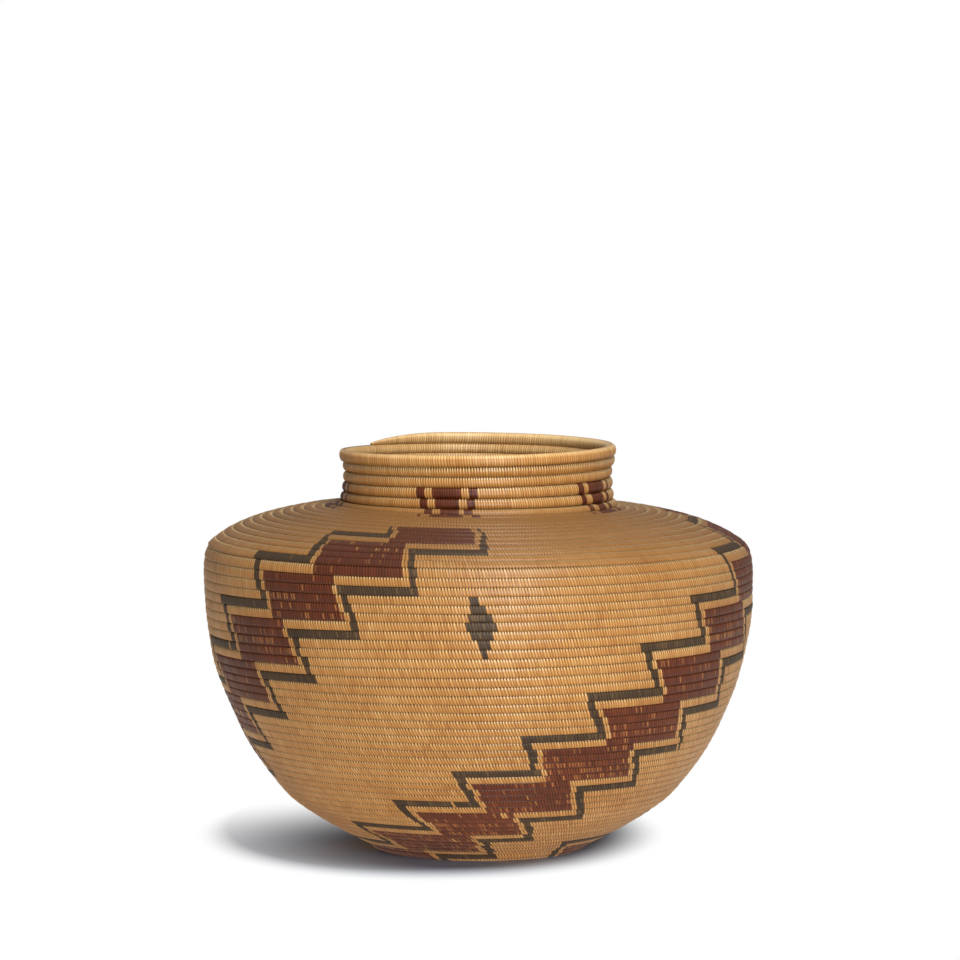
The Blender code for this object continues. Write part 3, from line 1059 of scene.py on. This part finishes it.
    def _grown(self, turns: np.ndarray) -> np.ndarray:
        """Thickness of the bundle where it starts and ends, as a share of the full one.

        Args:
            turns: Turn of each ring.

        Returns:
            Shares, 1 away from the bundle's two ends.
        """
        sizes = self.line.sizes
        grown = np.minimum((turns - sizes.start_turns) / sizes.start_taper_turns,
                           (self.line.last_turn - turns) / sizes.end_taper_turns)
        grown = np.clip(grown, 0.0, 1.0)
        return sizes.tip_share + (1 - sizes.tip_share) * grown * (2 - grown)

    def _section(self, behind: np.ndarray, crest: np.ndarray) -> np.ndarray:
        """Section of every ring: the pressed stitch, mixed with a plain round one.

        Args:
            behind: Turns from each ring to the bundle's end.
            crest: True where the ring is a strand's crest, false in a groove.

        Returns:
            Points as (ring, side, out and up), with half sizes of one.
        """
        shape = np.where(crest[:, None, None], self.master.crest[None], self.master.groove[None])
        rounded = np.interp(behind, self.round_rows, self.round_shares)[:, None, None]
        free = (1 - smooth_step(*self.rim_rows, behind))[:, None, None] * (shape[:, :, 1:] > 0)
        rounded = rounded + (1 - rounded) * free * self.rim_roundness
        sunken = np.ones((len(behind), 1, 2))
        sunken[~crest, 0, 0] = self.round_groove
        sunken[:, 0, 1] = self.round_overlap
        return shape * (1 - rounded) + self.master.circle[None] * sunken * rounded

    def _dress(self, mesh: bpy.types.Mesh, turns: np.ndarray, count: int) -> None:
        """Give each stitch its strand, its tone, its age, and the depth of its grooves.

        Args:
            mesh: Mesh of the stretch.
            turns: Turn of each ring.
            count: Number of stitches.
        """
        middle = turns[1::2]
        behind = self.line.last_turn - middle
        row = np.floor(behind).astype(int) + 1
        angle = self.line.sizes.end_angle - 360 * (behind - np.floor(behind))
        radius, _ = self.line.at(self.line.place(middle))
        strands = self.pattern.strands(row, angle, radius)
        growth = np.interp(row, self.stray_rows, self.stray_growth)
        stray = self.random.random(count) < self.stray_share * growth
        strands = np.where(stray, Strand.SEDGE.value, strands)
        tone = self.random.normal(self.middle_tone, self.tone_spread, count)
        tone = tone + np.interp(middle, self.tone_turns, self.tone_along)
        deep = self.deep_red * np.interp(row, self.deep_rows, (1.0, 0.0))
        tone = np.clip(np.where(strands == Strand.REDBUD.value, tone - deep, tone), 0.0, 1.0)
        age = np.interp(behind, self.shoulder_mix_rows, self.ages)
        per_stitch = 2 * self.master.SIDES
        caps = 2
        for material in self.materials:
            mesh.materials.append(material)
        index = np.concatenate([np.repeat(strands, per_stitch), np.full(caps, Strand.SEDGE.value)])
        mesh.polygons.foreach_set("material_index", index.astype(np.int32))
        for name, values in (("tone", tone), ("age", age)):
            layer = mesh.attributes.new(name, "FLOAT", "FACE")
            layer.data.foreach_set("value", np.concatenate([np.repeat(values, per_stitch), np.zeros(caps)]))
        self._stain(mesh, turns)
        self._unwrap(mesh, turns)

    def _stain(self, mesh: bpy.types.Mesh, turns: np.ndarray) -> None:
        """Mark the points that get painted shade and dust deep in a groove, those that get a painted
        highlight with wear, and those where the core shows.

        Args:
            mesh: Mesh of the stretch.
            turns: Turn of each ring.
        """
        master = self.master
        core = np.zeros((len(turns), master.SIDES))
        open_grooves = self.random.random(len(turns[0::2])) < self._core_shown(turns[0::2])
        core[0::2] = (open_grooves * self.random.uniform(self.core_least, 1.0, len(open_grooves)))[:, None]
        core *= np.abs(master.groove[:, 1]) < self.core_reach
        behind = self.line.last_turn - turns
        # Painted shade and dust: how deep each point lies in a groove
        depth = np.tile(master.crest_depth, (len(turns), 1))
        # Painted highlight with wear on the tops of the crests
        wear_highlight = np.tile(master.crest_wear_highlight, (len(turns), 1))
        depth[0::2], wear_highlight[0::2] = master.groove_depth, 0.0
        # Less painted shade and dust on the rim's free top
        last_rows = 1 - smooth_step(*self.shade_and_dust_cut_rows, behind)[:, None]
        depth *= 1 - self.rim_shade_and_dust_cut * (last_rows * (master.circle[:, 1] > self.shade_and_dust_cut_from))
        depth[1::2] *= np.interp(behind[1::2], self.gap_rows, self.gap_shares)[:, None]
        wear_highlight *= np.interp(behind, self.wear_highlight_rows, self.wear_highlight_shares)[:, None]
        # Painted light inside the neck on the side that faces in, and less painted shade and dust there
        faded = smooth_step(*self.inside_rows, behind)[:, None]
        inside = (master.circle[:, 0] < self.inside_from) * (1 - faded)
        wear_highlight = np.maximum(wear_highlight, self.inside_painted_light * inside * (depth < self.inside_depth))
        depth *= 1 - self.inside_shade_and_dust_cut * inside
        for name, values in (("core", core), ("depth", depth), ("wear_highlight", wear_highlight)):
            layer = mesh.attributes.new(name, "FLOAT", "POINT")
            layer.data.foreach_set("value", values.ravel().astype(np.float32))

    def _core_shown(self, turns: np.ndarray) -> np.ndarray:
        """Share of the grooves where strands have spread and the pale core shows between them.

        Args:
            turns: Turns of the grooves.

        Returns:
            Shares; they rise and fall along the bundle, and each round has its own.
        """
        rounds = np.floor(turns).astype(int)
        quick, slow = self.core_waves
        wave = np.sin(2 * math.pi * turns * quick)
        wave *= np.sin(2 * math.pi * turns * slow + self.core_wave_shift)
        by_row = np.interp(self.line.last_turn - turns, self.speck_rows, (self.upper_specks, 1.0))
        return self.core_rounds[rounds] * (0.5 + 0.5 * wave) * by_row

    def _unwrap(self, mesh: bpy.types.Mesh, turns: np.ndarray) -> None:
        """Lay the bundle's surface out flat, in metres: along the bundle, and around it.

        Args:
            mesh: Mesh of the stretch.
            turns: Turn of each ring.
        """
        sides = self.master.SIDES
        along = np.interp(turns, self.fine_turns, self.fine_lengths)
        girth = math.pi * self.line.sizes.flank_coil
        first, second = along[:-1], along[1:]
        low = np.arange(sides) / sides * girth
        high = (np.arange(sides) + 1) / sides * girth
        lengthwise = np.repeat(np.stack([first, first, second, second], axis=1), sides, axis=0)
        around = np.tile(np.stack([low, high, high, low], axis=1), (len(first), 1))
        tube = np.stack([lengthwise, around], axis=2).reshape(-1, 2)
        caps = np.zeros((2 * sides, 2))
        flat = np.concatenate([tube, caps]).ravel().astype(np.float32)
        layer = mesh.uv_layers.new(name="bundle")
        layer.data.foreach_set("uv", flat)


# The studio

@dataclass(frozen=True)
class FadeEdge:
    """An oval on the floor that outlines the painted shadow: at its edge the darker paper, with the real
    shadow on it, has faded to white.
    """

    middle: Tuple[float, float, float]
    radii: Tuple[float, float, float]
    start: float

    def build(self, tree: bpy.types.NodeTree, place: bpy.types.NodeSocket) -> bpy.types.NodeSocket:
        """Measure how far a point of the floor has faded.

        Args:
            tree: Node tree of the floor.
            place: Socket with the point's position.

        Returns:
            Socket that is 0 inside the oval, up to the start share of its radii, and 1 outside it.
        """
        centred = add_node(tree, "ShaderNodeVectorMath", {"operation": "SUBTRACT"}, {
            0: place, 1: self.middle,
        })
        scaled = add_node(tree, "ShaderNodeVectorMath", {"operation": "DIVIDE"}, {
            0: centred.outputs[0], 1: self.radii,
        })
        distance = add_node(tree, "ShaderNodeVectorMath", {"operation": "LENGTH"}, {0: scaled.outputs[0]})
        faded = add_node(tree, "ShaderNodeMapRange", {"interpolation_type": "SMOOTHSTEP"}, {
            "Value": distance.outputs["Value"], "From Min": self.start, "From Max": 1.0,
        })
        return faded.outputs[0]


@dataclass(frozen=True)
class Studio:
    """Pale floor with a painted shadow near the basket, soft light and the camera of the photograph."""

    # Camera, and the photograph's pixel that shows the aimed height of the basket's middle
    camera_distance: float = 4.5
    camera_height_angle: float = 6.7
    aim_height: float = 0.100
    aim_row: float = 653.3
    aim_column: float = 479.5
    metres_per_pixel: float = 0.000511
    image_side: int = 960
    sensor: float = 36.0

    # Floor and room: the darker paper that the camera sees near the basket, a painted shadow over the real
    # one, and the paper with a painted glow as it throws light back on the basket
    floor_radius: float = 6.0
    floor_sides: int = 96
    painted_shadow_paper: str = "939CAD"
    lit_paper: str = "F4EDE0"
    lit_glow: str = "FFF3E4"
    white: str = "FFFFFF"
    soft_edge: FadeEdge = FadeEdge((0.088, 0.009, 0.0), (0.300, 0.228, 1.0), 0.47)
    firm_edge: FadeEdge = FadeEdge((-0.025, 0.054, 0.0), (0.1225, 0.180, 1.0), 0.687)
    fade_power: float = 1.13
    room_light: float = 0.24
    reflected_room: float = 0.12
    table_glow: float = 0.38

    # Lamps: places and sides in metres, power in watts
    key_place: Tuple[float, float, float] = (0.4, -1.2, 2.1)
    key_side: float = 1.1
    key_power: float = 43.0
    front_place: Tuple[float, float, float] = (0.45, -2.3, 0.4)
    front_side: float = 0.9
    front_power: float = 33.0

    def build(self) -> None:
        """Set up the floor, the world, the lamps and the camera."""
        self._floor()
        self._world()
        self._lamps()
        self._camera()
        bpy.context.scene.view_settings.view_transform = "Standard"

    def _floor(self) -> None:
        """Lay the floor: near the basket the camera sees darker paper, a painted shadow over the real one,
        which fades to the white background away from the basket; bounced light sees pale paper with a
        painted glow.
        """
        bpy.ops.object.select_all(action="DESELECT")
        bpy.ops.mesh.primitive_circle_add(
            vertices=self.floor_sides, radius=self.floor_radius, fill_type="NGON",
        )
        floor = bpy.context.object
        floor.name = "studio_floor"
        material = bpy.data.materials.new("matt_white_paper")
        material.use_nodes = True
        tree = material.node_tree
        tree.nodes.clear()
        place = add_node(tree, "ShaderNodeTexCoord")
        # The two ovals outline the painted shadow
        edges = [edge.build(tree, place.outputs["Object"]) for edge in (self.soft_edge, self.firm_edge)]
        further = add_node(tree, "ShaderNodeMath", {"operation": "MAXIMUM"}, dict(enumerate(edges)))
        fade = add_node(tree, "ShaderNodeMath", {"operation": "POWER"}, {
            0: further.outputs[0], 1: self.fade_power,
        })
        path = add_node(tree, "ShaderNodeLightPath")
        # Camera rays see the dark paper, faded to white by the ovals; bounce rays see pale paper mixed with
        # a painted glow
        seen = add_node(tree, "ShaderNodeMix", {"data_type": "FLOAT"}, {
            "Factor": path.outputs["Is Camera Ray"], "A": self.table_glow, "B": fade.outputs[0],
        })
        tint = add_node(tree, "ShaderNodeMix", {"data_type": "RGBA"}, {
            "Factor": path.outputs["Is Camera Ray"], "A": srgb(self.lit_paper), "B": srgb(self.painted_shadow_paper),
        })
        glow_tint = add_node(tree, "ShaderNodeMix", {"data_type": "RGBA"}, {
            "Factor": path.outputs["Is Camera Ray"], "A": srgb(self.lit_glow), "B": srgb(self.white),
        })
        paper = add_node(tree, "ShaderNodeBsdfDiffuse", None, {"Color": tint.outputs["Result"]})
        glow = add_node(tree, "ShaderNodeEmission", None, {"Color": glow_tint.outputs["Result"]})
        mixed = add_node(tree, "ShaderNodeMixShader", None, {
            0: seen.outputs[0], 1: paper.outputs[0], 2: glow.outputs[0],
        })
        add_node(tree, "ShaderNodeOutputMaterial", None, {"Surface": mixed.outputs[0]})
        floor.data.materials.append(material)

    def _world(self) -> None:
        """Light the room softly, and show white to the camera and in reflections."""
        world = bpy.data.worlds.new("studio_world")
        bpy.context.scene.world = world
        world.use_nodes = True
        tree = world.node_tree
        tree.nodes.clear()
        path = add_node(tree, "ShaderNodeLightPath")
        seen = add_node(tree, "ShaderNodeMath", {"operation": "MAXIMUM"}, {
            0: path.outputs["Is Camera Ray"], 1: path.outputs["Is Transmission Ray"],
        })
        shine = add_node(tree, "ShaderNodeMath", {"operation": "MULTIPLY"}, {
            0: path.outputs["Is Glossy Ray"], 1: self.reflected_room,
        })
        shown = add_node(tree, "ShaderNodeMath", {"operation": "MAXIMUM"}, {
            0: seen.outputs[0], 1: shine.outputs[0],
        })
        plain = srgb(self.white)
        room = add_node(tree, "ShaderNodeBackground", None, {"Color": plain, "Strength": self.room_light})
        white = add_node(tree, "ShaderNodeBackground", None, {"Color": plain, "Strength": 1.0})
        mixed = add_node(tree, "ShaderNodeMixShader", None, {
            0: shown.outputs[0], 1: room.outputs[0], 2: white.outputs[0],
        })
        add_node(tree, "ShaderNodeOutputWorld", None, {"Surface": mixed.outputs[0]})

    def _lamps(self) -> None:
        """Hang the key lamp high in front to the right, as the shadow shows, and one low in front."""
        self._lamp("key_lamp", Vector(self.key_place), self.key_side, self.key_power)
        self._lamp("front_lamp", Vector(self.front_place), self.front_side, self.front_power)

    def _lamp(self, name: str, place: Vector, side: float, power: float) -> None:
        """Add one square area lamp that faces the basket.

        Args:
            name: Name of the lamp.
            place: Where it hangs.
            side: Side of its square.
            power: Power in watts.
        """
        lamp = bpy.data.lights.new(name, "AREA")
        lamp.shape = "SQUARE"
        lamp.size = side
        lamp.energy = power
        holder = bpy.data.objects.new(name, lamp)
        holder.location = place
        target = Vector((0.0, 0.0, self.aim_height))
        holder.rotation_euler = (target - place).to_track_quat("-Z", "Y").to_euler()
        bpy.context.scene.collection.objects.link(holder)

    def _camera(self) -> None:
        """Place the camera at the photograph's angle, with the basket low in the frame."""
        camera = bpy.data.cameras.new("photo_camera")
        camera.sensor_width = self.sensor
        camera.lens = self.sensor * self.camera_distance / (self.metres_per_pixel * self.image_side)
        holder = bpy.data.objects.new("photo_camera", camera)
        rise = math.radians(self.camera_height_angle)
        holder.location = (0.0, -self.camera_distance * math.cos(rise),
                           self.aim_height + self.camera_distance * math.sin(rise))
        low = (self.aim_row - self.image_side / 2) * self.metres_per_pixel / self.camera_distance
        aside = (self.image_side / 2 - self.aim_column) * self.metres_per_pixel / self.camera_distance
        holder.rotation_euler = (math.pi / 2 - rise + math.atan(low), 0.0, -math.atan(aside))
        bpy.context.scene.collection.objects.link(holder)
        bpy.context.scene.camera = holder


def main() -> None:
    """Load the frame, sew the basket over it and set up the studio."""
    logging.basicConfig(level=logging.INFO, format="%(name)s: %(message)s")
    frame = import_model()
    LOG.info("frame: %s", type(frame).__name__)
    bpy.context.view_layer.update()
    materials = [finish.build() for finish in (SEDGE_ROOT, REDBUD_SHOOT, BRACKEN_ROOT)]
    bundle = SewnBundle(WallLine(BasketSizes()), StitchMaster(), Pattern(), materials)
    bundle.build()
    Studio().build()


if __name__ == "__main__":
    main()
